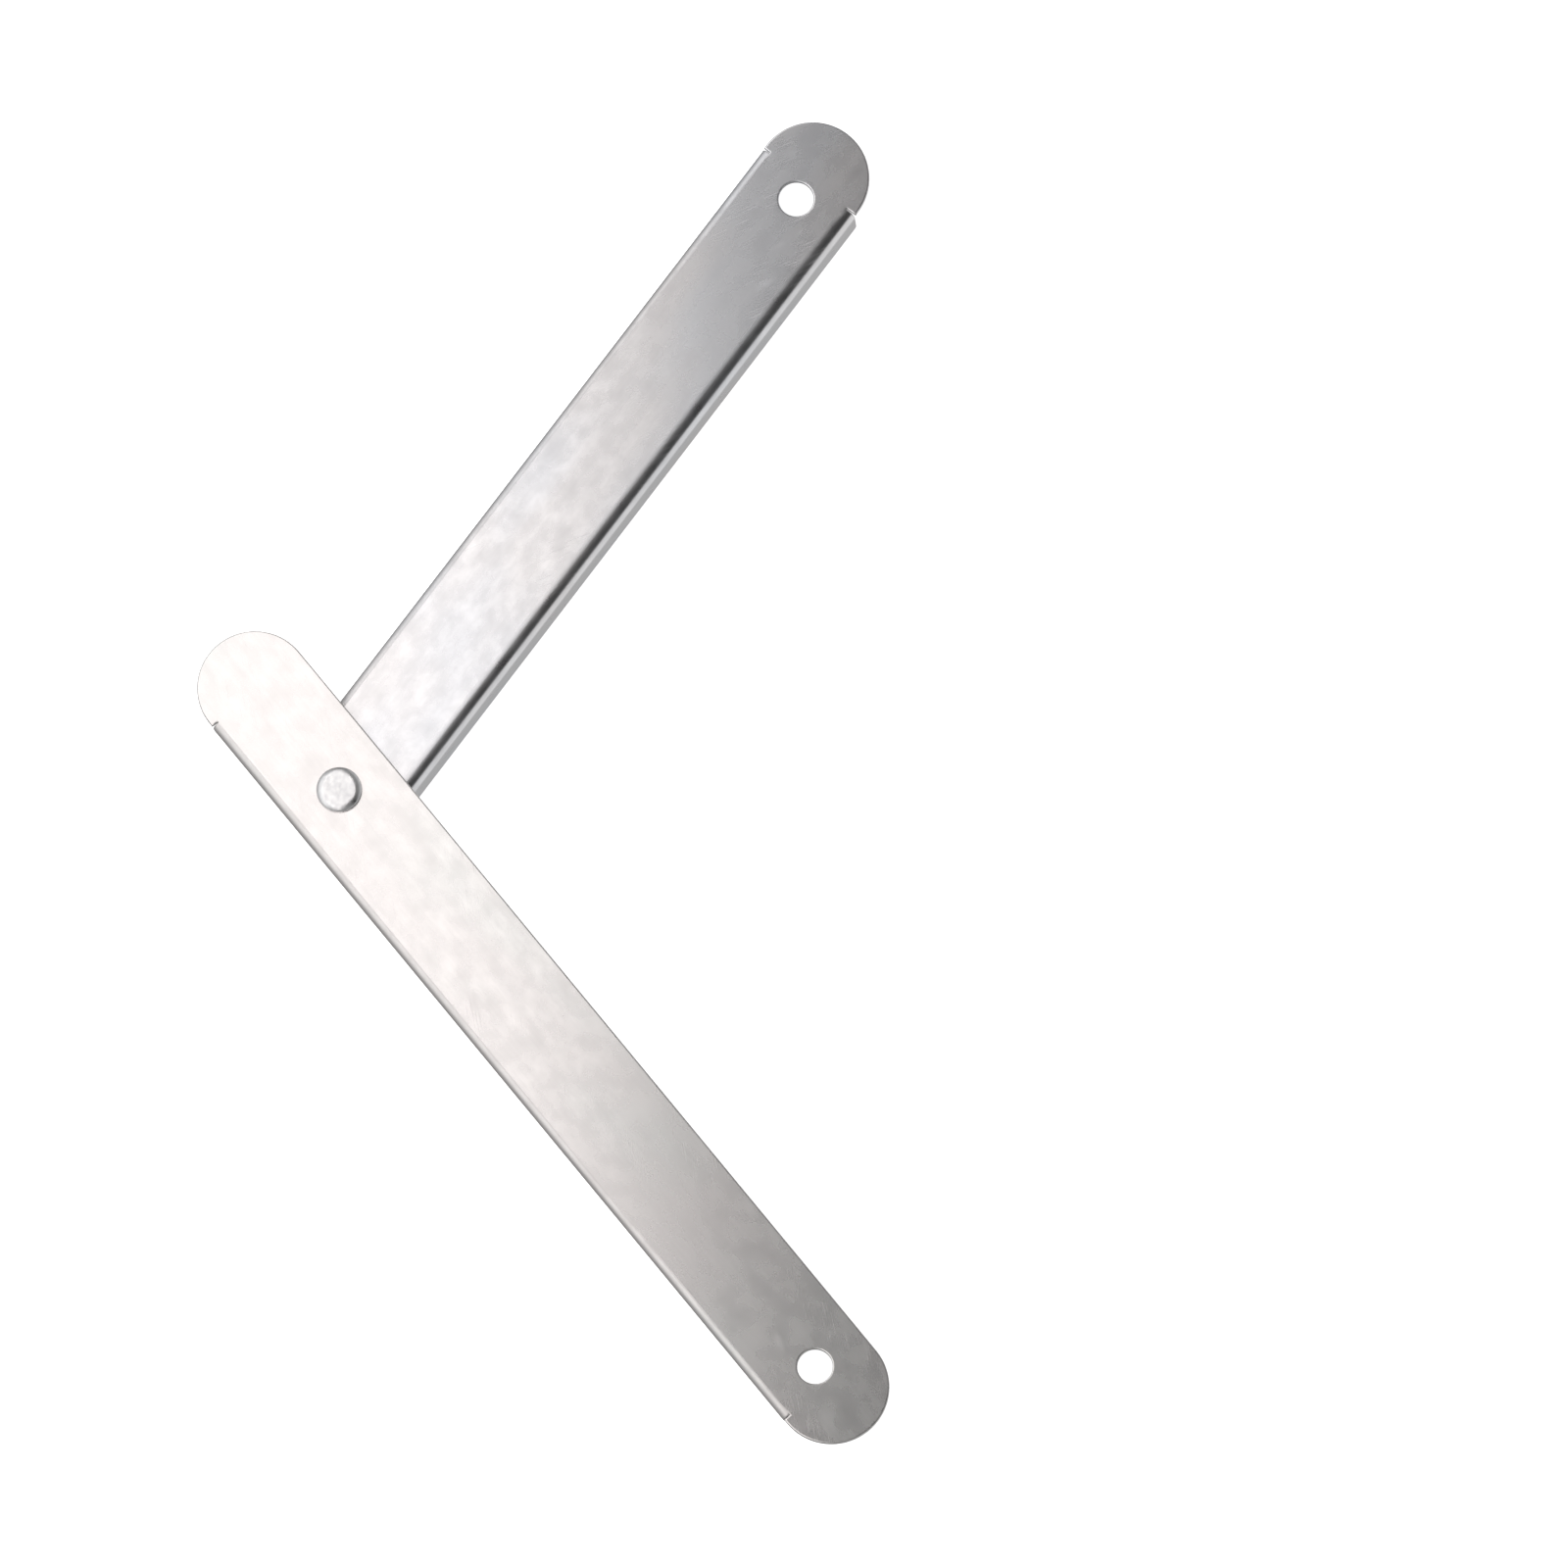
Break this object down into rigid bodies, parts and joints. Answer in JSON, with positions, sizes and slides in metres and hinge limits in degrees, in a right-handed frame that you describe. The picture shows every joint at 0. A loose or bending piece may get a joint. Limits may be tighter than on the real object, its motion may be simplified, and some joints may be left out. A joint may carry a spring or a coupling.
{
  "type": "friction stay hinge",
  "caption": "Friction stay hinge: a pressed channel arm and a lipped flat arm turning on one spring-loaded rivet, with a screw hole in each rounded end.",
  "frame": {"origin": "centre of the channel arm's screw hole, on the web's back face", "axes": "+X along the channel arm from its screw hole to the pivot, +Z along the rivet out of the front of the stay, +Y in the plane of the arms, on the side where the lipped arm lies"},
  "size_m": [0.1797, 0.1663, 0.013],
  "materials": {
    "channel_steel": "satin mill-finish sheet",
    "lipped_steel": "satin mill-finish sheet",
    "rivet_steel": "formed, slightly hammered",
    "friction_nylon": "natural nylon",
    "spring_steel": "oiled spring steel",
    "washer_steel": "bright zinc plate"
  },
  "bodies": {
    "channel_side": {"channel_arm": "channel_steel", "front_friction_washer": "friction_nylon", "rear_friction_washer": "friction_nylon"},
    "lipped_side": {"lipped_arm": "lipped_steel", "pivot_rivet": "rivet_steel", "front_disc_spring": "spring_steel", "rear_disc_spring": "spring_steel", "backing_washer": "washer_steel"}
  },
  "joints": [
    {"name": "stay_pivot", "type": "hinge", "parent": "channel_side", "child": "lipped_side", "pos_m": [0.125, 0, 0.0028], "axis": [0, 0, 1], "range_deg": [-76, 104]}
  ]
}
